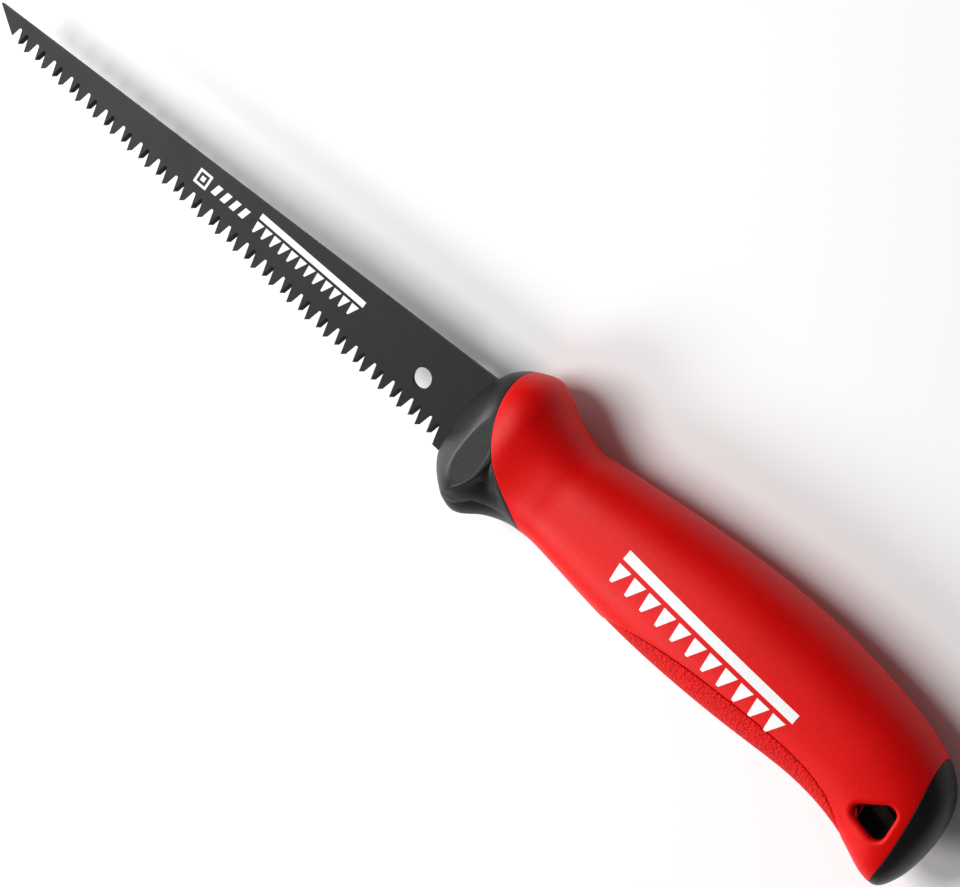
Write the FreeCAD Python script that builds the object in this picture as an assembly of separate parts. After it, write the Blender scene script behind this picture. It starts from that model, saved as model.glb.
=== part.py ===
import FreeCAD, Part
import math
import os

# Drywall jab saw: a stiff toothed blade with its tang locked in a moulded handle.
# Units are millimetres. While it is built, the saw has its first tooth tip at the origin, the line of
# tooth tips along +X towards the handle, the back of the blade towards +Y, and the middle plane of the
# blade at z = 0. export_nodes() then moves everything so that the saw lies on its side on z = 0,
# centred on the origin.

# --- blade ---------------------------------------------------------------------------------------
TEETH_PER_INCH = 8
TOOTH_COUNT = 48
BLADE_THICKNESS = 1.2
TIP_POINT_X = -6.3            # the sharp piercing point stands ahead of the first tooth
BACK_HEIGHT = 6.37            # height of the blade's back above the tooth line at the first tooth
BACK_RISE = 0.1063            # rise of the back per millimetre towards the handle
NOSE_LOW = (1.1, 1.1)         # lower end of the slanted front edge
HEEL_Y = -0.6                 # flat run between the last tooth and the handle
HIGH_SPEED_EDGE = 1.5         # height of the hard tooth tips above the tooth line
HARD_EDGE_GAP = 0.2           # the hard edge stops this far ahead of the heel
HANGING_HOLE = (140.7, 10.1)
HANGING_HOLE_RADIUS = 2.6

# --- gullets between the teeth ----------------------------------------------------------------------
GULLET_TOP_FRONT = 4.2        # the gullets deepen slightly along the blade
GULLET_TOP_REAR = 4.6
GULLET_FLOOR_RADIUS = 0.45
GULLET_OFFSET = 1.9           # from a tooth's tip to the middle of the gullet behind it
FACE_SHIFT = 0.35             # each gullet is ground askew: its middle moves this far on either face
FRONT_WALL_SLOPE = 0.245      # sideways travel per millimetre of height
REAR_WALL_SLOPE = 0.29
WALL_HALF_WIDTH = 1.46        # from the gullet's middle to its walls on the tooth line
CUT_BELOW = 2.0               # cutters run this far below the tooth line
OVERSHOOT = 2.0               # and this many times the blade's half thickness either side of its middle
TOP_BEVEL_SLOPE = 0.87        # the bevel on each tooth's top rises this much per millimetre
TOP_BEVEL_LENGTH = 1.97
TOP_BEVEL_LEAN = 0.7          # the bevel starts this much further ahead on the blade's other face
TOP_BEVEL_START = 0.05        # and this far ahead of the tip

# --- tang and its locking pins -------------------------------------------------------------------------
SHOULDER_X = 161.0
TANG_END_X = 214.0
TANG_LOW_Y = 5.0
TANG_HIGH_Y = 19.0
TANG_END_RADIUS = 6.0
PIN_PLACES = ((173.0, 12.0), (204.0, 12.5))
PIN_RADIUS = 2.0
PIN_HEAD_RADIUS = 3.4
PIN_HEAD_THICKNESS = 1.2
PIN_HALF_LENGTH = 7.4

# --- handle --------------------------------------------------------------------------------------------
# Sections across the handle: distance along it, top, bottom, and half of its thickness there.
HANDLE_SECTIONS = (
    (154.0, 16.5, 3.5, 1.5),
    (155.0, 20.4, -0.5, 2.9),
    (156.0, 23.3, -2.2, 4.2),
    (158.0, 27.2, -4.1, 6.7),
    (160.0, 29.1, -5.4, 8.9),
    (163.0, 30.9, -7.2, 11.2),
    (166.3, 32.3, -8.4, 12.4),
    (170.0, 32.1, -6.9, 12.7),
    (172.4, 31.0, -4.9, 12.3),
    (175.5, 29.4, -2.9, 11.6),
    (180.0, 27.8, -1.1, 10.9),
    (184.0, 26.8, -0.3, 10.7),
    (186.2, 26.7, -0.1, 10.6),
    (190.0, 27.3, -0.2, 10.7),
    (198.0, 28.8, -0.8, 11.1),
    (210.0, 31.0, -1.6, 11.7),
    (225.0, 33.3, -1.7, 12.4),
    (240.0, 34.8, -0.9, 12.8),
    (255.0, 35.3, 0.6, 12.8),
    (270.0, 34.5, 2.0, 12.5),
    (280.0, 33.3, 1.2, 12.1),
    (288.0, 31.5, -1.0, 11.5),
    (293.0, 29.6, -3.1, 10.8),
    (297.0, 26.9, -3.9, 9.5),
    (299.4, 24.1, -3.0, 7.9),
    (301.2, 20.2, 0.5, 5.6),
    (302.2, 15.8, 4.6, 3.2),
    (302.5, 12.2, 8.2, 1.4),
)
SECTION_POWER = 2.3           # 2 is an ellipse; a little more makes the sides flatter
NOSE_POWER = 3.2              # the front of the bolster is boxier
NOSE_END_X = 172.0
SECTION_POINTS = 24
SMALLEST_SECTION = 1.2        # inner bodies leave out the sections that would be thinner than this
FACET_POINT = (162.0, 6.0, 10.05)      # the flat facet on each side of the finger guard
FACET_NORMAL = (-0.38, -0.04, 1.0)
OVERMOULD_WALL = 3.0          # soft skin over the hard core
PAD_THICKNESS = 1.6
PEG_PLACES = ((232.0, 22.0), (268.0, 24.0))
PEG_RADIUS = 2.5
PEG_LENGTH = 5.0

# Seam between the bolster and the red grip, seen from the side, top to bottom.
BOLSTER_SEAM = (
    (160.9, 36.0),
    (161.6, 26.0),
    (165.7, 17.5),
    (172.1, 10.3),
    (178.9, 5.2),
    (183.6, 1.2),
    (184.8, -6.0),
)
# Seam between the red grip and the butt cap.
CAP_SEAM = ((288.5, 40.0), (293.4, 26.0), (296.4, 13.2), (297.2, -12.0))
# Upper edge of the textured pad under the fingers.
PAD_EDGE = (
    (204.0, -5.0),
    (218.5, 2.5),
    (245.0, 8.5),
    (262.0, 9.8),
    (275.0, 8.6),
    (283.0, 4.2),
    (291.5, -7.0),
)
LANYARD_CORNERS = ((286.8, 11.0), (291.1, 14.8), (291.7, 10.1))
LANYARD_CORNER_RADIUS = 3.0
LANYARD_WAIST_RADIUS = 2.0    # the moulded hole narrows towards the middle of the handle
LANYARD_LINING_WALL = 1.2     # the core rises round the hole and lines it
LANYARD_LINING_DEPTH = 1.3    # the lining ends this far below the skin
BEYOND = 30.0                 # reach of a cutting block past the handle
CORE_FRAME = ((140.0, -40.0), (320.0, -40.0), (320.0, 60.0), (140.0, 60.0))   # clear of the core all round


def vector(x, y, z=0.0):
    return FreeCAD.Vector(x, y, z)


def pitch():
    return 25.4 / TEETH_PER_INCH


def prism(points, low, high):
    """A straight-sided block over a closed outline, between two heights."""
    corners = [vector(x, y, low) for x, y in points]
    wire = Part.makePolygon(corners + corners[:1])
    return Part.Face(wire).extrude(vector(0, 0, high - low))


def curve_through(points):
    curve = Part.BSplineCurve()
    curve.interpolate([vector(x, y) for x, y in points])
    return curve


def block_beside(curve_points, corners):
    """A tall block bounded by a smooth curve and then by straight runs through the given corners."""
    curve = curve_through(curve_points).toShape()
    last = curve_points[-1]
    ends = [vector(*last)] + [vector(*corner) for corner in corners] + [vector(*curve_points[0])]
    wire = Part.Wire([curve] + Part.makePolygon(ends).Edges)
    face = Part.Face(wire)
    face.translate(vector(0, 0, -BEYOND))
    return face.extrude(vector(0, 0, 2 * BEYOND))


# --- blade -------------------------------------------------------------------------------------------------
def back_y(x):
    return BACK_HEIGHT + BACK_RISE * x


def blade_outline():
    return [
        (TIP_POINT_X, back_y(TIP_POINT_X)),
        NOSE_LOW,
        (NOSE_LOW[0], 0.0),
        (pitch() * TOOTH_COUNT, 0.0),
        (pitch() * TOOTH_COUNT, HEEL_Y),
        (SHOULDER_X, HEEL_Y),
        (SHOULDER_X, back_y(SHOULDER_X)),
    ]


def gullet_outline(middle, top):
    """Two sloping walls joined over the top by a small arc."""
    low = -CUT_BELOW
    arc_y = top - GULLET_FLOOR_RADIUS
    front_low = middle - WALL_HALF_WIDTH + FRONT_WALL_SLOPE * low
    rear_low = middle + WALL_HALF_WIDTH - REAR_WALL_SLOPE * low
    front_top = vector(middle - GULLET_FLOOR_RADIUS, arc_y)
    rear_top = vector(middle + GULLET_FLOOR_RADIUS, arc_y)
    crown = Part.Arc(front_top, vector(middle, top), rear_top).toShape()
    straight = Part.makePolygon([rear_top, vector(rear_low, low), vector(front_low, low), front_top])
    return Part.Wire([crown] + straight.Edges)


def gullet_cutter(index, half):
    """The gullet behind one tooth, sheared through the blade the opposite way to its neighbours."""
    side = 1 if index % 2 == 0 else -1
    tip = index * pitch()
    middle = tip + GULLET_OFFSET
    top = GULLET_TOP_FRONT + (GULLET_TOP_REAR - GULLET_TOP_FRONT) * index / TOOTH_COUNT
    face = Part.Face(gullet_outline(middle, top))
    sideways, upwards = side * FACE_SHIFT * OVERSHOOT, half * OVERSHOOT
    face.translate(vector(-sideways, 0, -upwards))
    return face.extrude(vector(2 * sideways, 0, 2 * upwards))


def top_bevel_cutter(index, half):
    """The third ground facet of a tooth: a wedge that leaves its tip on one face of the blade."""
    side = 1 if index % 2 == 0 else -1
    start = index * pitch() - TOP_BEVEL_START
    wedges = []
    for z, x in ((side * half, start), (-side * half, start - TOP_BEVEL_LEAN)):
        rear = x + TOP_BEVEL_LENGTH
        corners = [
            vector(x, 0, z),
            vector(rear, TOP_BEVEL_SLOPE * TOP_BEVEL_LENGTH, z),
            vector(rear, -CUT_BELOW, z),
            vector(x, -CUT_BELOW, z),
        ]
        wedges.append(Part.makePolygon(corners + corners[:1]))
    return Part.makeLoft(wedges, True, True)


def make_toothed_plate():
    half = BLADE_THICKNESS / 2
    plate = prism(blade_outline(), -half, half)
    length, height = TANG_END_X - SHOULDER_X, TANG_HIGH_Y - TANG_LOW_Y
    tang = Part.makeBox(length, height, 2 * half, vector(SHOULDER_X, TANG_LOW_Y, -half))
    ends = [edge for edge in tang.Edges if edge.BoundBox.XMin > TANG_END_X - 1 and edge.BoundBox.YLength < 1]
    tang = tang.makeFillet(TANG_END_RADIUS, ends)
    plate = plate.fuse(tang).removeSplitter()
    cutters = [gullet_cutter(i, half) for i in range(TOOTH_COUNT)]
    cutters += [top_bevel_cutter(i, half) for i in range(1, TOOTH_COUNT)]
    plate = plate.cut(cutters)
    holes = [Part.makeCylinder(HANGING_HOLE_RADIUS, 4 * half, vector(*HANGING_HOLE, -2 * half))]
    holes += [make_pin(place) for place in PIN_PLACES]
    return plate.cut(holes)


def edge_block():
    """The strip along the tooth line that holds the hard tips, short of the plain heel."""
    end = pitch() * TOOTH_COUNT - HARD_EDGE_GAP
    corners = [(-BEYOND, HIGH_SPEED_EDGE), (-BEYOND, -BEYOND), (end, -BEYOND), (end, HIGH_SPEED_EDGE)]
    return prism(corners, -BLADE_THICKNESS, BLADE_THICKNESS)


def make_pin(place):
    """One headed locking pin across the tang."""
    x, y = place
    half = PIN_HALF_LENGTH
    pin = Part.makeCylinder(PIN_RADIUS, 2 * half, vector(x, y, -half))
    for low in (-half, half - PIN_HEAD_THICKNESS):
        pin = pin.fuse(Part.makeCylinder(PIN_HEAD_RADIUS, PIN_HEAD_THICKNESS, vector(x, y, low)))
    return pin.removeSplitter()


# --- handle ------------------------------------------------------------------------------------------------
def section_power(x):
    start = HANDLE_SECTIONS[0][0]
    share = min(1.0, max(0.0, (x - start) / (NOSE_END_X - start)))
    return NOSE_POWER + (SECTION_POWER - NOSE_POWER) * share


def section_wire(x, top, bottom, half_width):
    middle = (top + bottom) / 2
    half_height = (top - bottom) / 2
    bend = 2 / section_power(x)
    points = []
    for step in range(SECTION_POINTS):
        turn = 2 * math.pi * step / SECTION_POINTS
        across, up = math.cos(turn), math.sin(turn)
        z = half_width * math.copysign(abs(across) ** bend, across)
        y = middle + half_height * math.copysign(abs(up) ** bend, up)
        points.append(vector(x, y, z))
    curve = Part.BSplineCurve()
    curve.interpolate(Points=points, PeriodicFlag=True)
    return Part.Wire([curve.toShape()])


def handle_body(inset):
    """The whole handle as one smooth solid, its surface this far inside the outer one."""
    start, end = HANDLE_SECTIONS[0][0], HANDLE_SECTIONS[-1][0]
    centre = (start + end) / 2
    squeeze = 1 - 2 * inset / (end - start)
    wires = []
    for x, top, bottom, half in HANDLE_SECTIONS:
        if half - inset > SMALLEST_SECTION:
            moved_x = centre + (x - centre) * squeeze
            wires.append(section_wire(moved_x, top - inset, bottom + inset, half - inset))
    return Part.makeLoft(wires, True, False)


def lanyard_outline(radius, z):
    """A rounded triangle about the lanyard hole, its corners of this radius."""
    corners = [vector(x, y) for x, y in LANYARD_CORNERS]
    triangle = Part.makePolygon(corners + corners[:1])
    outline = triangle.makeOffset2D(radius)
    outline.translate(vector(0, 0, z))
    return outline


def lanyard_prism(radius):
    return Part.Face(lanyard_outline(radius, -BEYOND)).extrude(vector(0, 0, 2 * BEYOND))


def lanyard_bore():
    """The hole through the core: two tapers that meet in the middle of the handle."""
    mouth = max(row[-1] for row in HANDLE_SECTIONS)
    waist = lanyard_outline(LANYARD_WAIST_RADIUS, 0)
    return [
        Part.makeLoft([waist, lanyard_outline(LANYARD_CORNER_RADIUS, side * mouth)], True, True)
        for side in (1, -1)
    ]


def facet_block(side):
    """Everything outside the flat facet on one side of the bolster."""
    x, y, z = FACET_POINT
    nx, ny, nz = FACET_NORMAL
    block = Part.makeBox(2 * BEYOND, 2 * BEYOND, BEYOND, vector(-BEYOND, -BEYOND))
    block.Placement = FreeCAD.Placement(
        vector(x, y, side * z), FreeCAD.Rotation(vector(0, 0, 1), vector(nx, ny, side * nz))
    )
    return block


def front_block():
    return block_beside(BOLSTER_SEAM, [(130.0, -40.0), (130.0, 60.0)])


def rear_block():
    return block_beside(CAP_SEAM, [(330.0, -40.0), (330.0, 60.0)])


def below_pad_edge():
    return block_beside(PAD_EDGE, [(291.5, -30.0), (204.0, -30.0)])


def make_pegs():
    """Pegs that line the two core halves up."""
    down = vector(0, 0, -1)
    return [Part.makeCylinder(PEG_RADIUS, PEG_LENGTH, vector(x, y), down) for x, y in PEG_PLACES]


def make_core():
    """The hard core in one piece, with the lining of the lanyard hole raised on both of its sides."""
    around_hole = lanyard_prism(LANYARD_CORNER_RADIUS + LANYARD_LINING_WALL)
    lining = handle_body(LANYARD_LINING_DEPTH).common(around_hole)
    return handle_body(OVERMOULD_WALL).fuse(lining)


def build():
    half = BLADE_THICKNESS / 2
    plate = make_toothed_plate()
    edge = edge_block()
    tips = plate.common(edge)
    blade = plate.cut(edge)
    pins = [make_pin(place) for place in PIN_PLACES]

    outer = handle_body(0.0)
    core = make_core()
    pad_floor = handle_body(PAD_THICKNESS)
    hole = lanyard_prism(LANYARD_CORNER_RADIUS)
    front = front_block()
    rear = rear_block()
    pad_zone = below_pad_edge()

    skin = outer.cut(core)
    bolster = skin.common(front).cut([plate, facet_block(1), facet_block(-1)])
    cap = skin.common(rear)
    grip = skin.cut([front, rear, hole])
    pad = outer.cut(pad_floor).common(pad_zone).cut([hole])
    grip = grip.cut(pad)

    core = core.cut(lanyard_bore() + [plate] + pins)
    above = prism(CORE_FRAME, 0, BEYOND)
    below = prism(CORE_FRAME, -BEYOND, 0)
    near_half = core.common(above).fuse(make_pegs())
    far_half = core.common(below).cut(make_pegs())
    return {
        "blade_body": blade,
        "tooth_tips": tips,
        "tang_pins": Part.makeCompound(pins),
        "core_near_half": near_half,
        "core_far_half": far_half,
        "bolster_collar": bolster,
        "grip_shell": grip,
        "belly_pad": pad,
        "butt_cap": cap,
    }


def export_nodes(nodes):
    whole = Part.makeCompound(list(nodes.values())).optimalBoundingBox(False, False)
    shift = vector(-whole.Center.x, -whole.Center.y, -whole.ZMin)
    os.makedirs("parts", exist_ok=True)
    for name, shape in nodes.items():
        shape.translate(shift)
        shape.exportStep("parts/%s.step" % name)
        solids = shape.Solids
        print(name, shape.isValid(), len(solids), "solids", round(shape.Volume), "mm3")
    print("shift", shift)


export_nodes(build())
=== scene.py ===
import math

import bpy
import numpy as np
from mathutils import Matrix, Vector


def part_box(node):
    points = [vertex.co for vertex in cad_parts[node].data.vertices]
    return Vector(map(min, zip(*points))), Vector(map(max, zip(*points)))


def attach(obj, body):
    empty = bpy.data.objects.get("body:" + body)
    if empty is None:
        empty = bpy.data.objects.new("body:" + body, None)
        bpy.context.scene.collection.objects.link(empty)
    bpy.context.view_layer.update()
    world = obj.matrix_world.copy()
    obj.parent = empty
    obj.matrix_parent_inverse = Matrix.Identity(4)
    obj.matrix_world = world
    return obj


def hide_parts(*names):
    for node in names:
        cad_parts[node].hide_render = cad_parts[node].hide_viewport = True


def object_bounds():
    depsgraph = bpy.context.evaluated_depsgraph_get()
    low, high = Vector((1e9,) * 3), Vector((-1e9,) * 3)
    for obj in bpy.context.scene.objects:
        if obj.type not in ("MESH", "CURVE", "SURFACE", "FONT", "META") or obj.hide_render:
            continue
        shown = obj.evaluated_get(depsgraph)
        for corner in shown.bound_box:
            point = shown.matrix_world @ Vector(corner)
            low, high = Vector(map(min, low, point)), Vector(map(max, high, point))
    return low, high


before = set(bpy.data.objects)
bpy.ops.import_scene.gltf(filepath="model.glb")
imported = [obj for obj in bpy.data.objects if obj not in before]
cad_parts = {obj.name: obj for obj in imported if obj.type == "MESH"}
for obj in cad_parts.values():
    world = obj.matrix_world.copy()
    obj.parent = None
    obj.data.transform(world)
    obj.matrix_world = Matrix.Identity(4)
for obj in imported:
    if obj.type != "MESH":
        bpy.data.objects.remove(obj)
cad_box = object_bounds()

# The saw's own coordinates, in millimetres: x runs from the first tooth tip to the butt, y from the line
# of tooth tips to the back of the blade, and z from the middle plane of the blade to its upper face.
MM = 0.001
TIP_POINT_X = -6.3
HEEL_Y = -0.6
BLADE_HALF = 0.6

# Sections across the handle: distance along it, top, bottom, and half of its thickness there.
HANDLE_SECTIONS = (
    (154.0, 16.5, 3.5, 1.5),
    (155.0, 20.4, -0.5, 2.9),
    (156.0, 23.3, -2.2, 4.2),
    (158.0, 27.2, -4.1, 6.7),
    (160.0, 29.1, -5.4, 8.9),
    (163.0, 30.9, -7.2, 11.2),
    (166.3, 32.3, -8.4, 12.4),
    (170.0, 32.1, -6.9, 12.7),
    (172.4, 31.0, -4.9, 12.3),
    (175.5, 29.4, -2.9, 11.6),
    (180.0, 27.8, -1.1, 10.9),
    (184.0, 26.8, -0.3, 10.7),
    (186.2, 26.7, -0.1, 10.6),
    (190.0, 27.3, -0.2, 10.7),
    (198.0, 28.8, -0.8, 11.1),
    (210.0, 31.0, -1.6, 11.7),
    (225.0, 33.3, -1.7, 12.4),
    (240.0, 34.8, -0.9, 12.8),
    (255.0, 35.3, 0.6, 12.8),
    (270.0, 34.5, 2.0, 12.5),
    (280.0, 33.3, 1.2, 12.1),
    (288.0, 31.5, -1.0, 11.5),
    (293.0, 29.6, -3.1, 10.8),
    (297.0, 26.9, -3.9, 9.5),
    (299.4, 24.1, -3.0, 7.9),
    (301.2, 20.2, 0.5, 5.6),
    (302.2, 15.8, 4.6, 3.2),
    (302.5, 12.2, 8.2, 1.4),
)
SECTION_POWER = 2.3           # 2 is an ellipse; a little more makes the sides flatter
NOSE_POWER = 3.2              # the front of the bolster is boxier
NOSE_END_X = 172.0
# A flat facet on each side of the finger guard.
FACET_POINT = (162.0, 6.0, 10.05)
FACET_NORMAL = (-0.38, -0.04, 1.0)
FACET_CREASE = 0.012          # softness of its edge, as a share of the distance from the handle's middle
# Rear edge of that facet, where the surface drops into a cove that runs back to the seam.
COVE_EDGE = ((163.5, -4.0), (166.8, 1.1), (168.2, 3.6), (169.2, 6.0), (169.8, 9.4), (170.2, 14.0))
COVE_DEPTH = 1.6
COVE_DEPTH_PER_WIDTH = 0.17   # where the cove is narrow it is also shallower
COVE_PEAK = 6.75              # scales share * (1 - share)^2 so that its highest value is 1
COVE_FADE_START = 0.25        # the cove fades out where the surface turns away from the side
COVE_FADE_SPAN = 0.4
SEAM_HIGH_Y = 30.0            # above this height the cove takes the seam's x as constant
BOLSTER_SEAM = (
    (160.9, 36.0),
    (161.6, 26.0),
    (165.7, 17.5),
    (172.1, 10.3),
    (178.9, 5.2),
    (183.6, 1.2),
    (184.8, -6.0),
)
CAP_SEAM = ((288.5, 40.0), (293.4, 26.0), (296.4, 13.2), (297.2, -12.0))
PAD_EDGE = (
    (204.0, -5.0),
    (218.5, 2.5),
    (245.0, 8.5),
    (262.0, 9.8),
    (275.0, 8.6),
    (283.0, 4.2),
    (291.5, -7.0),
)
LANYARD_CORNERS = ((286.8, 11.0), (291.1, 14.8), (291.7, 10.1))
LANYARD_CORNER_RADIUS = 2.2   # less than in the solid, so the narrower hole hides the floor behind it


# --- curves and the handle's smooth surface -------------------------------------------------------
def spline(knots, values):
    """A smooth curve through the given values: returns a function of an array."""
    k, v = np.array(knots, float), np.array(values, float)
    n = len(k)
    gap = np.diff(k)
    system, right = np.eye(n), np.zeros(n)
    for i in range(1, n - 1):
        system[i, i - 1 : i + 2] = gap[i - 1], 2 * (gap[i - 1] + gap[i]), gap[i]
        right[i] = 6 * ((v[i + 1] - v[i]) / gap[i] - (v[i] - v[i - 1]) / gap[i - 1])
    bend = np.linalg.solve(system, right)

    def evaluate(at):
        at = np.asarray(at, float)
        i = np.clip(np.searchsorted(k, at) - 1, 0, n - 2)
        a, b = k[i + 1] - at, at - k[i]
        curved = (bend[i] * a**3 + bend[i + 1] * b**3) / (6 * gap[i])
        first = (v[i] / gap[i] - bend[i] * gap[i] / 6) * a
        second = (v[i + 1] / gap[i] - bend[i + 1] * gap[i] / 6) * b
        return curved + first + second

    return evaluate


def side_curve(points, along=1):
    """A curve drawn in side view, as one coordinate worked out from the other."""
    order = sorted(points, key=lambda p: p[along])
    return spline([p[along] for p in order], [p[1 - along] for p in order])


SECTION_CHANGE_SHARE = 0.7    # how much a change of the section counts towards the travel

rows = np.array(HANDLE_SECTIONS)
section_change = np.abs(np.diff(rows[:, 1:], axis=0)).max(axis=1)
steps = np.hypot(np.diff(rows[:, 0]), section_change * SECTION_CHANGE_SHARE)
travel = np.concatenate([[0], np.cumsum(steps)])
TRAVEL_END = travel[-1]
section_x, section_top, section_bottom, section_half = (spline(travel, rows[:, i]) for i in range(4))
bolster_seam_x = side_curve(BOLSTER_SEAM)
cap_seam_x = side_curve(CAP_SEAM)
cove_edge_x = side_curve(COVE_EDGE)
pad_edge_y = side_curve(PAD_EDGE, along=0)


def section_power(x):
    """How boxy the section is at the given x."""
    share = np.clip((x - rows[0, 0]) / (NOSE_END_X - rows[0, 0]), 0, 1)
    return NOSE_POWER + (SECTION_POWER - NOSE_POWER) * share


def surface(t, u):
    """Points of the handle's outer surface: t is the travel, u the angle round from +z towards +y."""
    x, top, bottom, half = section_x(t), section_top(t), section_bottom(t), section_half(t)
    power = section_power(x)
    c, s = np.cos(u), np.sin(u)
    reach = (np.abs(c) ** power + np.abs(s) ** power) ** (-1 / power)
    return np.stack([x, (top + bottom) / 2 + (top - bottom) / 2 * s * reach, half * c * reach], -1)


NORMAL_STEP = 0.05            # along the travel
NORMAL_TURN = 0.005           # round it, in radians


def normals(t, u, shape=surface):
    """Directions out of a surface, from small steps along it and round it."""
    ahead, behind = (np.clip(t + step, 0, TRAVEL_END) for step in (NORMAL_STEP, -NORMAL_STEP))
    along = shape(ahead, u) - shape(behind, u)
    round_it = shape(t, u + NORMAL_TURN) - shape(t, u - NORMAL_TURN)
    n = np.cross(along, round_it)
    return n / np.maximum(np.linalg.norm(n, axis=-1, keepdims=True), 1e-12)


def smooth_min(a, b, width):
    """The lesser of two values, with the change from one to the other rounded over a width."""
    h = np.clip(0.5 + 0.5 * (b - a) / width, 0, 1)
    return b + (a - b) * h - width * h * (1 - h)


def cove_depth(points, n):
    """Depth of the cove between the facet's rear edge and the seam."""
    x, y = points[..., 0], points[..., 1]
    edge = cove_edge_x(np.clip(y, COVE_EDGE[0][1], COVE_EDGE[-1][1]))
    width = np.maximum(bolster_seam_x(np.clip(y, BOLSTER_SEAM[-1][1], SEAM_HIGH_Y)) - edge, 0)
    share = np.clip((x - edge) / np.maximum(width, 0.01), 0, 1)
    profile = COVE_PEAK * share * (1 - share) ** 2
    turned_up = np.clip((np.abs(n[..., 2]) - COVE_FADE_START) / COVE_FADE_SPAN, 0, 1)
    return np.minimum(COVE_DEPTH, COVE_DEPTH_PER_WIDTH * width) * profile * turned_up


def bolster_surface(t, u):
    """The handle's surface with the two flat facets and the coves behind them."""
    points = surface(t, u)
    n = normals(t, u)
    points = points - n * cove_depth(points, n)[..., None]
    axis = points.copy()
    axis[..., 1] = (section_top(t) + section_bottom(t)) / 2
    axis[..., 2] = 0
    spoke = points - axis
    side = np.where(points[..., 2] >= 0, 1.0, -1.0)
    mirror = np.stack([np.ones_like(side), np.ones_like(side), side], -1)
    normal = np.array(FACET_NORMAL) * mirror
    base = np.array(FACET_POINT) * mirror
    towards = (normal * spoke).sum(-1)
    share = (normal * (base - axis)).sum(-1) / np.where(towards > 1e-6, towards, 1e-6)
    keep = smooth_min(np.ones_like(share), np.clip(share, 0, 3), FACET_CREASE)
    return axis + spoke * keep[..., None]


HALVINGS = 30
TRAVEL_SAMPLES = 4000


def seam_travel(u, seam_x, low, high):
    """For each angle, the travel at which the surface crosses a seam, by halving."""
    a, b = np.full_like(u, low), np.full_like(u, high)
    for _ in range(HALVINGS):
        middle = (a + b) / 2
        points = surface(middle, u)
        before = points[..., 0] < seam_x(points[..., 1])
        a, b = np.where(before, middle, a), np.where(before, b, middle)
    return (a + b) / 2


def travel_at(x):
    """The travel along the handle at which a section stands at the given x."""
    dense = np.linspace(0, TRAVEL_END, TRAVEL_SAMPLES)
    return np.interp(x, section_x(dense), dense)


# --- from arrays to Blender -----------------------------------------------------------------------
low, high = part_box("blade_body")
SAW_ORIGIN = np.array(
    [low.x - TIP_POINT_X * MM, low.y - HEEL_Y * MM, (low.z + high.z) / 2]
)


def add_mesh(name, points, faces, smooth=True):
    """A piece that rides on the saw, from points in the saw's own millimetres."""
    mesh = bpy.data.meshes.new(name)
    mesh.from_pydata((np.asarray(points) * MM + SAW_ORIGIN).tolist(), [], faces)
    mesh.validate()
    mesh.update()
    for polygon in mesh.polygons:
        polygon.use_smooth = smooth
    piece = bpy.data.objects.new(name, mesh)
    bpy.context.scene.collection.objects.link(piece)
    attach(piece, "root")
    return piece


def grid_faces(row_count, column_count, closed=True, first=0):
    """Four-sided faces over a grid of points; a closed grid joins its last column to its first."""
    faces = []
    last_column = column_count if closed else column_count - 1
    for i in range(row_count - 1):
        for j in range(last_column):
            k = (j + 1) % column_count
            a, b = first + i * column_count, first + (i + 1) * column_count
            faces.append((a + j, b + j, b + k, a + k))
    return faces


def slab_faces(row_count, column_count, first=0, flip=False):
    """Faces of a thin slab: an upper grid of points, a lower one that follows it, and the border."""
    count = row_count * column_count
    upper = grid_faces(row_count, column_count, closed=False, first=first)
    if flip:
        upper = [tuple(reversed(face)) for face in upper]
    under = [tuple(count + i for i in reversed(face)) for face in upper]
    last_row, last_column = row_count - 1, column_count - 1
    loop = list(range(column_count))
    loop += [i * column_count + last_column for i in range(1, row_count)]
    loop += [last_row * column_count + j for j in range(last_column - 1, -1, -1)]
    loop += [i * column_count for i in range(last_row - 1, 0, -1)]
    border = [
        (first + b, first + a, first + a + count, first + b + count)
        for a, b in zip(loop, loop[1:] + loop[:1])
    ]
    return upper + under + border


def roll_depth(distance, radius):
    """How far a rounded edge falls away, at a distance from the edge."""
    inside = np.clip(radius - distance, 0, radius)
    return radius - np.sqrt(np.maximum(radius**2 - inside**2, 0))


EDGE_ROWS = 6                 # rows over one rounded edge


def edge_spaced(length, spacing, radius):
    """Distances from 0 to length, closely spaced over the rounded edges at both ends."""
    fine = radius * (1 - np.cos(np.linspace(0, math.pi / 2, EDGE_ROWS)))
    count = max(2, int((length - 2 * radius) / spacing))
    middle = np.linspace(radius, length - radius, count + 1)[1:-1]
    return np.concatenate([fine, middle, length - fine[::-1]])


SEAM_RADIUS = 0.2             # rounded edges along both seams
SKIRT = 1.2                   # each skin turns in this far at a seam, so that no gap shows
FRONT_SEAM_LIMIT_X = 200.0    # the bolster's seam lies ahead of this, and the cap's behind the next
REAR_SEAM_LIMIT_X = 270.0
COLUMNS = 300                 # of the grip's grid, of which this many cross the pad
PAD_COLUMNS = 120
PAD_MINIMUM_ANGLE = math.radians(14)
PAD_ANGLE_BLEND = 0.06
PAD_SLOPE_STEP = 0.1
PAD_LEAST_SLANT = 0.15        # keeps the distance finite where the surface faces straight down
OFF_PAD = -50.0               # stands for far away


def pad_half_angle(t):
    """Half of the pad's width as an angle either side of straight down; zero where there is no pad."""
    x = section_x(t)
    middle = (section_top(t) + section_bottom(t)) / 2
    half = (section_top(t) - section_bottom(t)) / 2
    power = section_power(x)
    up = np.clip((pad_edge_y(x) - middle) / half, -1, 0)
    across = (1 - np.abs(up) ** power) ** (1 / power)
    inside = (x > PAD_EDGE[0][0]) & (x < PAD_EDGE[-1][0])
    return np.where(inside, math.pi / 2 - np.arctan2(-up, across), 0)


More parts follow.
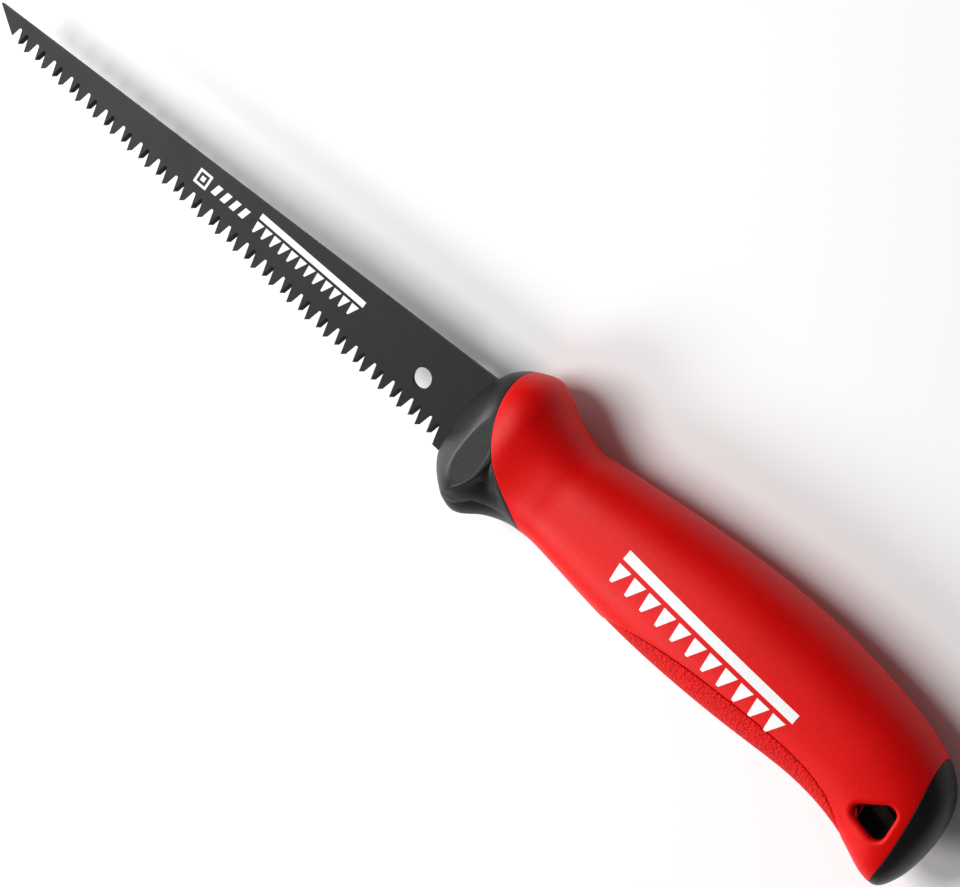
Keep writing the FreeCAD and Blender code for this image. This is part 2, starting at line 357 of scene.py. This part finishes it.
def column_angles(t):
    """Angles round the handle, rows by columns, with two of the columns laid along the pad's edges."""
    wide = -smooth_min(-pad_half_angle(t), np.full_like(t, -PAD_MINIMUM_ANGLE), PAD_ANGLE_BLEND)
    inner = np.linspace(-1, 1, PAD_COLUMNS, endpoint=False)
    outer = np.linspace(0, 1, COLUMNS - PAD_COLUMNS, endpoint=False)
    below = wide[:, :PAD_COLUMNS] * inner
    rest = wide[:, PAD_COLUMNS:] + (2 * math.pi - 2 * wide[:, PAD_COLUMNS:]) * outer
    return np.concatenate([below, rest], axis=1) - math.pi / 2


def pad_distance(t, u, points):
    """Distance along the surface to the pad's edge, positive on the pad."""
    x, y = points[..., 0], points[..., 1]
    inside = (x > PAD_EDGE[0][0]) & (x < PAD_EDGE[-1][0])
    x_in = np.clip(x, PAD_EDGE[0][0], PAD_EDGE[-1][0])
    rise = pad_edge_y(x_in + PAD_SLOPE_STEP) - pad_edge_y(x_in - PAD_SLOPE_STEP)
    slope = rise / (2 * PAD_SLOPE_STEP)
    gradient = np.stack([slope, -np.ones_like(slope), np.zeros_like(slope)], -1)
    n = normals(t, u)
    tangent = gradient - (gradient * n).sum(-1, keepdims=True) * n
    slant = np.maximum(np.linalg.norm(tangent, axis=-1), PAD_LEAST_SLANT)
    return np.where(inside, (pad_edge_y(x_in) - y) / slant, OFF_PAD)


def hole_distance(x, y):
    """Signed distance in side view to the lanyard hole's outline, and the direction away from it."""
    corners = np.array(LANYARD_CORNERS)
    best = np.full(x.shape, 1e9)
    away = np.zeros(x.shape + (2,))
    inside = np.ones(x.shape, bool)
    turn = np.sign(np.cross(corners[1] - corners[0], corners[2] - corners[0]))
    for a, b in zip(corners, np.roll(corners, -1, axis=0)):
        run = b - a
        share = np.clip(((x - a[0]) * run[0] + (y - a[1]) * run[1]) / (run @ run), 0, 1)
        dx, dy = x - a[0] - share * run[0], y - a[1] - share * run[1]
        d = np.hypot(dx, dy)
        nearer = d < best
        best = np.where(nearer, d, best)
        away[nearer] = np.stack([dx, dy], -1)[nearer] / np.maximum(d[nearer], 1e-9)[:, None]
        inside &= turn * (run[0] * (y - a[1]) - run[1] * (x - a[0])) >= 0
    signed = np.where(inside, -best, best)
    away[inside] *= -1
    return signed - LANYARD_CORNER_RADIUS, away


# --- grip -----------------------------------------------------------------------------------------
GRIP_SPACING = 0.32
GRIP_LENGTH = 137.0           # rough length between the seams, for spacing the rows
FIRST_GUESS_X = (165.0, 295.0)
SEAM_PASSES = 4               # the seams and the column angles depend on each other: they take turns
GROOVE_HALF = 0.45            # the groove round the pad
GROOVE_DEPTH = 1.0
HOLE_WALL = 1.6               # straight wall below the rim: a deep one tears at the corners
HOLE_ROLL_SHARP = 1.1         # radii of the rim
HOLE_ROLL_SOFT = 1.5
HOLE_ROLL_FAR = 0.5
HOLE_SOFT_CORNER = (285.5, 9.0)
HOLE_SOFT_LEAN = 0.5
HOLE_SOFT_REACH = 9.0         # the roll tightens over this distance from the soft corner
HOLE_SIDE_Z = 4.0             # the hole opens on the sides of the handle, beyond this height


def hole_roll_radius(x, y, z):
    """The near rim is soft towards the palm and crisp towards the butt; the far rim is crisp."""
    corner_x, corner_y = HOLE_SOFT_CORNER
    share = np.clip(((x - corner_x) + HOLE_SOFT_LEAN * (y - corner_y)) / HOLE_SOFT_REACH, 0, 1)
    near = HOLE_ROLL_SOFT + (HOLE_ROLL_SHARP - HOLE_ROLL_SOFT) * share
    return np.where(z > 0, near, HOLE_ROLL_FAR)


def roll_into_hole(points):
    """Pulls the skin over a rounded rim and down the lanyard hole's wall; also says what falls inside."""
    x, y, z = points[..., 0], points[..., 1], points[..., 2]
    distance, away = hole_distance(x, y)
    near = (distance < HOLE_ROLL_SOFT) & (np.abs(z) > HOLE_SIDE_Z)
    radius = hole_roll_radius(x, y, z)
    run = np.clip(radius - distance, 0, None)
    quarter = radius * math.pi / 2
    limit = quarter + HOLE_WALL - radius
    gone = near & (run > limit)
    run = np.minimum(run, limit)
    turned = np.clip(run / radius, 0, math.pi / 2)
    new_distance = radius * (1 - np.sin(turned))
    depth = radius * (1 - np.cos(turned)) + np.clip(run - quarter, 0, None)
    move = near & (run > 0)
    shift = np.where(move, new_distance - distance, 0)
    out = points.copy()
    out[..., 0] += away[..., 0] * shift
    out[..., 1] += away[..., 1] * shift
    out[..., 2] -= np.sign(z) * np.where(move, depth, 0)
    return out, gone


def make_grip():
    """The red skin, in rows from seam to seam, with the groove round the pad and the lanyard hole."""
    share = edge_spaced(1.0, GRIP_SPACING / GRIP_LENGTH, SEAM_RADIUS / GRIP_LENGTH)[:, None]
    guess = FIRST_GUESS_X[0] + share * (FIRST_GUESS_X[1] - FIRST_GUESS_X[0])
    t = np.broadcast_to(travel_at(guess), (len(share), COLUMNS))
    for _ in range(SEAM_PASSES):
        u = column_angles(t)
        start = seam_travel(u[:1], bolster_seam_x, 0.0, travel_at(FRONT_SEAM_LIMIT_X))
        end = seam_travel(u[-1:], cap_seam_x, travel_at(REAR_SEAM_LIMIT_X), TRAVEL_END)
        t = start + (end - start) * share
    points = surface(t, u)
    n = normals(t, u)
    from_start = np.linalg.norm(points - points[:1], axis=-1)
    from_end = np.linalg.norm(points - points[-1:], axis=-1)
    depth = roll_depth(from_start, SEAM_RADIUS) + roll_depth(from_end, SEAM_RADIUS)
    on_pad = pad_distance(t, u, points)
    depth += GROOVE_DEPTH * np.clip((on_pad + GROOVE_HALF) / GROOVE_HALF, 0, 1)
    points = points - n * depth[..., None]
    points, gone = roll_into_hole(points)
    skirt_front = points[:1] - n[:1] * SKIRT
    skirt_back = points[-1:] - n[-1:] * SKIRT
    points = np.concatenate([skirt_front, points, skirt_back])
    gone = np.concatenate([gone[:1], gone, gone[-1:]]).ravel()
    faces = [f for f in grid_faces(len(points), COLUMNS) if not all(gone[i] for i in f)]
    piece = add_mesh("grip_skin", points.reshape(-1, 3), faces)
    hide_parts("grip_shell")
    return piece


BOLSTER_COLUMNS = 480
BOLSTER_ROW_SHARE = 0.008     # spacing of its rows, as a share of the way to the seam
BOLSTER_EDGE_SHARE = 0.012
NOSE_RINGS = (0.3, 0.8)       # rings that close the front, as shares of the first row's size
CAP_COLUMNS = 240
# Rows of the cap as shares of the way from the seam, close together over the rounded edge.
CAP_ROWS = np.concatenate([np.linspace(0, 0.03, 5), np.linspace(0.05, 1, 60)])


def make_bolster():
    """The black front of the handle, with its facets, closed in front and turned in at the seam."""
    u = np.linspace(0, 2 * math.pi, BOLSTER_COLUMNS, endpoint=False)
    end = seam_travel(u, bolster_seam_x, 0.0, travel_at(FRONT_SEAM_LIMIT_X))
    share = edge_spaced(1.0, BOLSTER_ROW_SHARE, BOLSTER_EDGE_SHARE)
    t = end * share[:, None]
    uu = np.broadcast_to(u, t.shape)
    points = bolster_surface(t, uu)
    n = normals(t, uu, bolster_surface)
    from_end = np.linalg.norm(points - points[-1:], axis=-1)
    points = points - n * roll_depth(from_end, SEAM_RADIUS)[..., None]
    front = points[0].copy()
    centre = front.mean(axis=0)
    rings = [centre + (front - centre) * size for size in NOSE_RINGS]
    for ring in rings:
        ring[:, 0] = front[:, 0]
    skirt = points[-1] - n[-1] * SKIRT
    points = np.concatenate([rings, points, [skirt]])
    faces = grid_faces(len(points), len(u))
    faces.append(tuple(range(len(u))))
    piece = add_mesh("bolster", points.reshape(-1, 3), faces)
    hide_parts("bolster_collar")
    return piece


def make_cap():
    """The black butt cap, turned in at the seam and closed behind."""
    u = np.linspace(0, 2 * math.pi, CAP_COLUMNS, endpoint=False)
    start = seam_travel(u, cap_seam_x, travel_at(REAR_SEAM_LIMIT_X), TRAVEL_END)
    t = start + (TRAVEL_END - start) * CAP_ROWS[:, None]
    uu = np.broadcast_to(u, t.shape)
    points = surface(t, uu)
    n = normals(t, uu)
    from_start = np.linalg.norm(points - points[:1], axis=-1)
    points = points - n * roll_depth(from_start, SEAM_RADIUS)[..., None]
    skirt = points[0] - n[0] * SKIRT
    points = np.concatenate([[skirt], points])
    faces = grid_faces(len(points), len(u))
    last = (len(points) - 1) * len(u)
    faces.append(tuple(last + j for j in reversed(range(len(u)))))
    piece = add_mesh("cap", points.reshape(-1, 3), faces)
    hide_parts("butt_cap")
    return piece


PAD_GAP = 0.25                # beside the pad, to the edge that the side curve draws
PAD_RECESS = 0.22             # below the skin
PAD_ROLL = 0.5
PAD_DEPTH = 0.9
PAD_SAMPLES = 3000
PAD_ROWS = 300
PAD_SWEEP = 150               # points across it
PAD_START_ANGLE = 0.03        # the pad starts where it is this wide, as an angle
PAD_LEAST_ANGLE = 0.002


def make_pad():
    """The red pad along the belly, as a thin slab with rounded edges."""
    ends = (travel_at(PAD_EDGE[0][0]), travel_at(PAD_EDGE[-1][0]))
    dense = np.linspace(*ends, PAD_SAMPLES)
    there = dense[pad_half_angle(dense) > PAD_START_ANGLE]
    t = np.linspace(there[0], there[-1], PAD_ROWS)[:, None]
    inset = PAD_GAP / section_half(t)
    half = np.maximum(pad_half_angle(t) - inset, PAD_LEAST_ANGLE)
    u = -math.pi / 2 + half * np.linspace(-1, 1, PAD_SWEEP)
    t = np.broadcast_to(t, u.shape)
    points = surface(t, u)
    n = normals(t, u)
    edge = np.maximum(pad_distance(t, u, points) - PAD_GAP, 0)
    points = points - n * (PAD_RECESS + roll_depth(edge, PAD_ROLL))[..., None]
    under = points - n * PAD_DEPTH
    everything = np.concatenate([points.reshape(-1, 3), under.reshape(-1, 3)])
    piece = add_mesh("belly_grip", everything, slab_faces(PAD_ROWS, PAD_SWEEP))
    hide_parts("belly_pad")
    return piece


# --- plain white marks ----------------------------------------------------------------------------
MARK_HEIGHT = 0.02            # above the surface, and how far the ink reaches below it
MARK_SINK = 0.03
HANDLE_MARK_STEP = 0.5        # fine enough to follow the handle's curve
BLADE_MARK_STEP = 40.0        # the blade is flat
# Each stripe: its start, number of teeth, tooth pitch, height, and rise per millimetre.
HANDLE_STRIPE = ((208.5, 10.3), 11, 4.9, 9.0, -0.01)
BLADE_STRIPE = ((83.5, 7.4), 12, 2.9, 5.4, 0.045)
STRIPE_BAR = 0.3              # shares of the stripe's height
STRIPE_GAP = 0.14
TOOTH_WIDTH = 0.78            # shares of the tooth pitch
TOOTH_TIP_START = 0.1
TOOTH_TIP_WIDTH = 0.16
# The badge: its start, size, and rise per millimetre.
BLADE_BADGE = ((63.5, 6.4), 4.1, 0.06)
BADGE_RIM = 0.16              # shares of the badge's size
BADGE_CORE = 0.34
BAR_COUNT = 4
BAR_START = 0.35
BAR_PITCH = 0.75
BAR_WIDTH = 0.4
BAR_LEAN = 0.2


def on_handle(x, y):
    """Points of the handle's near side for given places in side view, and the directions out of it."""
    t = travel_at(x)
    middle = (section_top(t) + section_bottom(t)) / 2
    half = (section_top(t) - section_bottom(t)) / 2
    up = np.clip((y - middle) / half, -0.999, 0.999)
    power = section_power(x)
    across = (1 - np.abs(up) ** power) ** (1 / power)
    u = np.arctan2(up, across)
    return surface(t, u), normals(t, u)


def on_blade(x, y):
    """The same for the blade's near face."""
    points = np.stack([x, y, np.full_like(x, BLADE_HALF)], -1)
    return points, np.broadcast_to([0.0, 0.0, 1.0], points.shape)


def stamp(name, quads, place, step):
    """Thin white ink over four-cornered shapes given in side view, laid on a surface."""
    points, faces = [], []
    for quad in quads:
        a, b, c, d = (np.array(corner, float) for corner in quad)
        column_count = 2 + int(max(np.linalg.norm(b - a), np.linalg.norm(c - d)) / step)
        row_count = 2 + int(max(np.linalg.norm(d - a), np.linalg.norm(c - b)) / step)
        i, j = np.meshgrid(np.linspace(0, 1, row_count), np.linspace(0, 1, column_count), indexing="ij")
        i, j = i[..., None], j[..., None]
        flat = (a * (1 - j) + b * j) * (1 - i) + (d * (1 - j) + c * j) * i
        on, n = place(flat[..., 0], flat[..., 1])
        first = sum(len(block) for block in points)
        points += [(on + n * MARK_HEIGHT).reshape(-1, 3), (on - n * MARK_SINK).reshape(-1, 3)]
        faces += slab_faces(row_count, column_count, first, flip=True)
    piece = add_mesh(name, np.concatenate(points), faces, smooth=False)
    return piece


def box_quad(x0, y0, x1, y1, lean=0.0):
    """A four-cornered shape whose top may lean forwards."""
    return [(x0, y0), (x1, y0), (x1 + lean, y1), (x0 + lean, y1)]


def sloped(quads, start_x, slope):
    """The same shapes, rising steadily along x."""
    return [[(x, y + slope * (x - start_x)) for x, y in quad] for quad in quads]


def saw_stripe(start, teeth, tooth_pitch, height, slope):
    """A bar with a row of slanted teeth under it: a plain stripe that stands for a saw."""
    x0, y0 = start
    top = y0 + height
    bar = height * STRIPE_BAR
    high = top - bar - height * STRIPE_GAP
    quads = [box_quad(x0, top - bar, x0 + teeth * tooth_pitch, top)]
    for k in range(teeth):
        left = x0 + k * tooth_pitch
        tip = left + tooth_pitch * TOOTH_TIP_START
        tip_end = tip + tooth_pitch * TOOTH_TIP_WIDTH
        quads.append([(tip, y0), (tip_end, y0), (left + tooth_pitch * TOOTH_WIDTH, high), (left, high)])
    return sloped(quads, x0, slope)


def badge(start, size, slope):
    """A small square frame round a solid square, followed by slanted bars."""
    x0, y0 = start
    x1, y1 = x0 + size, y0 + size
    rim, core = size * BADGE_RIM, size * BADGE_CORE
    quads = [
        box_quad(x0, y0, x1, y0 + rim),
        box_quad(x0, y1 - rim, x1, y1),
        box_quad(x0, y0 + rim, x0 + rim, y1 - rim),
        box_quad(x1 - rim, y0 + rim, x1, y1 - rim),
        box_quad(x0 + core, y0 + core, x1 - core, y1 - core),
    ]
    for k in range(BAR_COUNT):
        left = x1 + size * (BAR_START + BAR_PITCH * k)
        quads.append(box_quad(left, y0 + rim, left + size * BAR_WIDTH, y1 - rim, size * BAR_LEAN))
    return sloped(quads, x0, slope)


def make_marks():
    return [
        stamp("handle_mark", saw_stripe(*HANDLE_STRIPE), on_handle, HANDLE_MARK_STEP),
        stamp("blade_mark", saw_stripe(*BLADE_STRIPE), on_blade, BLADE_MARK_STEP),
        stamp("blade_badge", badge(*BLADE_BADGE), on_blade, BLADE_MARK_STEP),
    ]


# --- materials ------------------------------------------------------------------------------------
# Scales count per metre, and depths are in metres.
RED_IOR = 1.45
CLOUD_SCALE = 60.0            # broad and fine mottling of the red
FINE_SCALE = 900.0
STIPPLE_SCALE = 1500.0
STIPPLE_DEPTH = 0.0005
BLACK_MOTTLE_SCALE = 500.0
BLACK_GLOSS_SCALE = 80.0
INK_COVER_SCALE = 900.0
INK_GRAIN_SCALE = 3000.0
INK_GRAIN_DEPTH = 0.000004
GRAIN_STRENGTH = 0.6
DARK_MOTTLE = 0.86            # how dark the mottling gets, as a share of the colour
DARK_STIPPLE = 0.7
LIGHT_MOTTLE = 1.3
THIN_INK = 0.97
CLOUD_SHARE = 0.4             # broad and fine noise are mixed in these shares
FINE_SHARE = 0.6
RED_ROUGHNESS_SPREAD = 0.06
BLACK_ROUGHNESS_SPREAD = 0.05


def new_material(name, color, roughness, specular=0.5, ior=1.5):
    material = bpy.data.materials.new(name)
    material.use_nodes = True
    shader = material.node_tree.nodes["Principled BSDF"]
    shader.inputs["Base Color"].default_value = (*color, 1)
    shader.inputs["Roughness"].default_value = roughness
    shader.inputs["Specular IOR Level"].default_value = specular
    shader.inputs["IOR"].default_value = ior
    return material, shader


def noise(tree, scale, detail=3.0, roughness=0.5):
    """A noise pattern fixed to the object's own coordinates."""
    coordinates = tree.nodes.new("ShaderNodeTexCoord")
    texture = tree.nodes.new("ShaderNodeTexNoise")
    texture.inputs["Scale"].default_value = scale
    texture.inputs["Detail"].default_value = detail
    texture.inputs["Roughness"].default_value = roughness
    tree.links.new(coordinates.outputs["Object"], texture.inputs["Vector"])
    return texture.outputs["Fac"]


def add_bump(tree, shader, height, strength, distance):
    bump = tree.nodes.new("ShaderNodeBump")
    bump.inputs["Strength"].default_value = strength
    bump.inputs["Distance"].default_value = distance
    tree.links.new(height, bump.inputs["Height"])
    tree.links.new(bump.outputs["Normal"], shader.inputs["Normal"])


def vary_color(tree, shader, fac, dark, light, low=0.35, high=0.65):
    ramp = tree.nodes.new("ShaderNodeValToRGB")
    ramp.color_ramp.elements[0].position = low
    ramp.color_ramp.elements[0].color = (*dark, 1)
    ramp.color_ramp.elements[1].position = high
    ramp.color_ramp.elements[1].color = (*light, 1)
    tree.links.new(fac, ramp.inputs["Fac"])
    tree.links.new(ramp.outputs["Color"], shader.inputs["Base Color"])


def mix_value(tree, operation, a, b):
    node = tree.nodes.new("ShaderNodeMath")
    node.operation = operation
    for socket, value in zip(node.inputs, (a, b)):
        if isinstance(value, (int, float)):
            socket.default_value = value
        else:
            tree.links.new(value, socket)
    return node.outputs[0]


def vary_roughness(tree, shader, fac, low, high):
    spread = tree.nodes.new("ShaderNodeMapRange")
    spread.inputs["To Min"].default_value = low
    spread.inputs["To Max"].default_value = high
    tree.links.new(fac, spread.inputs["Value"])
    tree.links.new(spread.outputs["Result"], shader.inputs["Roughness"])


def red_plastic(name, color, roughness, grain_scale, grain_depth, specular):
    """Moulded red plastic: faint mottling, and a fine grain under the light."""
    material, shader = new_material(name, color, roughness, specular, RED_IOR)
    tree = material.node_tree
    dark = tuple(c * DARK_MOTTLE for c in color)
    cloud = noise(tree, CLOUD_SCALE, 4.0)
    fine = noise(tree, FINE_SCALE, 2.0)
    broad_part = mix_value(tree, "MULTIPLY", cloud, CLOUD_SHARE)
    fine_part = mix_value(tree, "MULTIPLY", fine, FINE_SHARE)
    vary_color(tree, shader, mix_value(tree, "ADD", broad_part, fine_part), dark, color)
    smooth, rough = roughness - RED_ROUGHNESS_SPREAD, roughness + RED_ROUGHNESS_SPREAD
    vary_roughness(tree, shader, cloud, smooth, rough)
    add_bump(tree, shader, noise(tree, grain_scale, 2.0), GRAIN_STRENGTH, grain_depth)
    return material


def pad_rubber(name, color, roughness):
    """Soft red rubber with a fine stipple."""
    material, shader = new_material(name, color, roughness, 0.2, RED_IOR)
    tree = material.node_tree
    stipple = noise(tree, STIPPLE_SCALE, 1.0)
    dark = tuple(c * DARK_STIPPLE for c in color)
    vary_color(tree, shader, stipple, dark, color, 0.4, 0.6)
    add_bump(tree, shader, stipple, 1.0, STIPPLE_DEPTH)
    return material


def black_plastic(name, color, roughness, grain_scale, grain_depth, specular=0.5):
    """Black plastic or coating: faint lighter mottling, uneven gloss and a fine grain."""
    material, shader = new_material(name, color, roughness, specular)
    tree = material.node_tree
    light = tuple(c * LIGHT_MOTTLE for c in color)
    vary_color(tree, shader, noise(tree, BLACK_MOTTLE_SCALE), color, light)
    smooth, rough = roughness - BLACK_ROUGHNESS_SPREAD, roughness + BLACK_ROUGHNESS_SPREAD
    vary_roughness(tree, shader, noise(tree, BLACK_GLOSS_SCALE), smooth, rough)
    add_bump(tree, shader, noise(tree, grain_scale, 2.0), GRAIN_STRENGTH, grain_depth)
    return material


def white_ink(name, color, roughness):
    """Printed ink: slightly uneven cover over the surface below."""
    material, shader = new_material(name, color, roughness, 0.3)
    tree = material.node_tree
    thin = tuple(c * THIN_INK for c in color)
    vary_color(tree, shader, noise(tree, INK_COVER_SCALE), thin, color)
    add_bump(tree, shader, noise(tree, INK_GRAIN_SCALE, 2.0), 0.2, INK_GRAIN_DEPTH)
    return material


def set_material(piece, material):
    piece.data.materials.clear()
    piece.data.materials.append(material)


grip = make_grip()
bolster = make_bolster()
cap = make_cap()
pad = make_pad()
marks = make_marks()

# Each plastic: name, colour, roughness, grain scale, grain depth, specular.
blade_black = black_plastic("blade_coating", (0.007, 0.007, 0.0072), 0.4, 2500.0, 0.00001, 0.13)
bolster_black = black_plastic("bolster_plastic", (0.007, 0.007, 0.007), 0.36, 1500.0, 0.00006, 0.2)
core_black = black_plastic("core_plastic", (0.004, 0.004, 0.004), 0.6, 1500.0, 0.00003)
grip_red = red_plastic("grip_plastic", (0.76, 0.0, 0.0), 0.46, 1500.0, 0.00003, 0.22)
pad_red = pad_rubber("pad_rubber", (0.74, 0.0, 0.0), 0.65)
pin_steel, _ = new_material("pin_steel", (0.5, 0.5, 0.5), 0.35)
print_white = white_ink("print_ink", (0.9, 0.9, 0.9), 0.55)
for mark in marks:
    set_material(mark, print_white)
set_material(grip, grip_red)
set_material(pad, pad_red)
set_material(bolster, bolster_black)
set_material(cap, bolster_black)
for node in ("blade_body", "tooth_tips"):
    set_material(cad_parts[node], blade_black)
for node in ("core_near_half", "core_far_half"):
    set_material(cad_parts[node], core_black)
set_material(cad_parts["tang_pins"], pin_steel)


# --- floor, lights and camera ---------------------------------------------------------------------
FLOOR_SIZE = 8                # metres
WORLD_STRENGTH = 0.1
# Each soft box: name, direction from the saw, distance and size in metres, power in watts.
SOFT_BOXES = (
    ("key_softbox", (-0.9, -0.42, 0.1), 1.1, 0.5, 7.5),
    ("side_softbox", (-0.3, -0.78, 0.55), 1.3, 0.6, 8.5),
    ("overhead_softbox", (-0.52, -0.05, 0.85), 1.3, 0.6, 10),
    ("tip_softbox", (-0.5, -0.35, 0.79), 1.3, 0.35, 5),
)
# The camera was placed so that the tooth tips and the hanging hole fall where the photograph has them.
CAMERA_AIM = (161.67, 7.85, 0.0)       # in the saw's own coordinates
CAMERA_AZIMUTH, CAMERA_ELEVATION, CAMERA_ROLL = (math.radians(a) for a in (57.18, 62.35, 106.82))
CAMERA_DISTANCE = 0.73416              # metres
CAMERA_LENS = 116.62                   # millimetres, as is the sensor's width
CAMERA_SENSOR = 36


def make_floor():
    bpy.ops.mesh.primitive_plane_add(size=FLOOR_SIZE, location=(0, 0, 0))
    floor = bpy.context.object
    floor.name = "floor"
    material, _ = new_material("floor_white", (0.95, 0.95, 0.95), 0.9, 0.2)
    set_material(floor, material)


def add_light(name, towards, distance, size, power):
    """A soft box that looks at the saw from the given direction."""
    direction = Vector(towards).normalized()
    data = bpy.data.lights.new(name, "AREA")
    data.shape = "DISK"
    data.size = size
    data.energy = power
    lamp = bpy.data.objects.new(name, data)
    lamp.location = saw_middle + direction * distance
    lamp.rotation_euler = direction.to_track_quat("Z", "Y").to_euler()
    bpy.context.scene.collection.objects.link(lamp)


def make_camera():
    """The camera at the photograph's viewing angle."""
    level = math.cos(CAMERA_ELEVATION)
    back = Vector(
        (math.cos(CAMERA_AZIMUTH) * level, math.sin(CAMERA_AZIMUTH) * level, math.sin(CAMERA_ELEVATION))
    )
    right = Vector((0, 0, 1)).cross(back).normalized()
    up = back.cross(right)
    turned_up = up * math.cos(CAMERA_ROLL) + right * math.sin(CAMERA_ROLL)
    turned_right = right * math.cos(CAMERA_ROLL) - up * math.sin(CAMERA_ROLL)
    data = bpy.data.cameras.new("camera")
    data.sensor_width = CAMERA_SENSOR
    data.lens = CAMERA_LENS
    data.clip_start = 0.01
    camera = bpy.data.objects.new("camera", data)
    aim = Vector(SAW_ORIGIN + np.array(CAMERA_AIM) * MM)
    turn = Matrix((turned_right, turned_up, back)).transposed().to_4x4()
    camera.matrix_world = Matrix.Translation(aim + back * CAMERA_DISTANCE) @ turn
    bpy.context.scene.collection.objects.link(camera)
    bpy.context.scene.camera = camera


saw_middle = (Vector(cad_box[0]) + Vector(cad_box[1])) / 2
make_floor()
for box in SOFT_BOXES:
    add_light(*box)
make_camera()

world = bpy.data.worlds.new("studio")
world.use_nodes = True
world.node_tree.nodes["Background"].inputs["Color"].default_value = (1, 1, 1, 1)
world.node_tree.nodes["Background"].inputs["Strength"].default_value = WORLD_STRENGTH
bpy.context.scene.world = world
bpy.context.scene.view_settings.view_transform = "Standard"
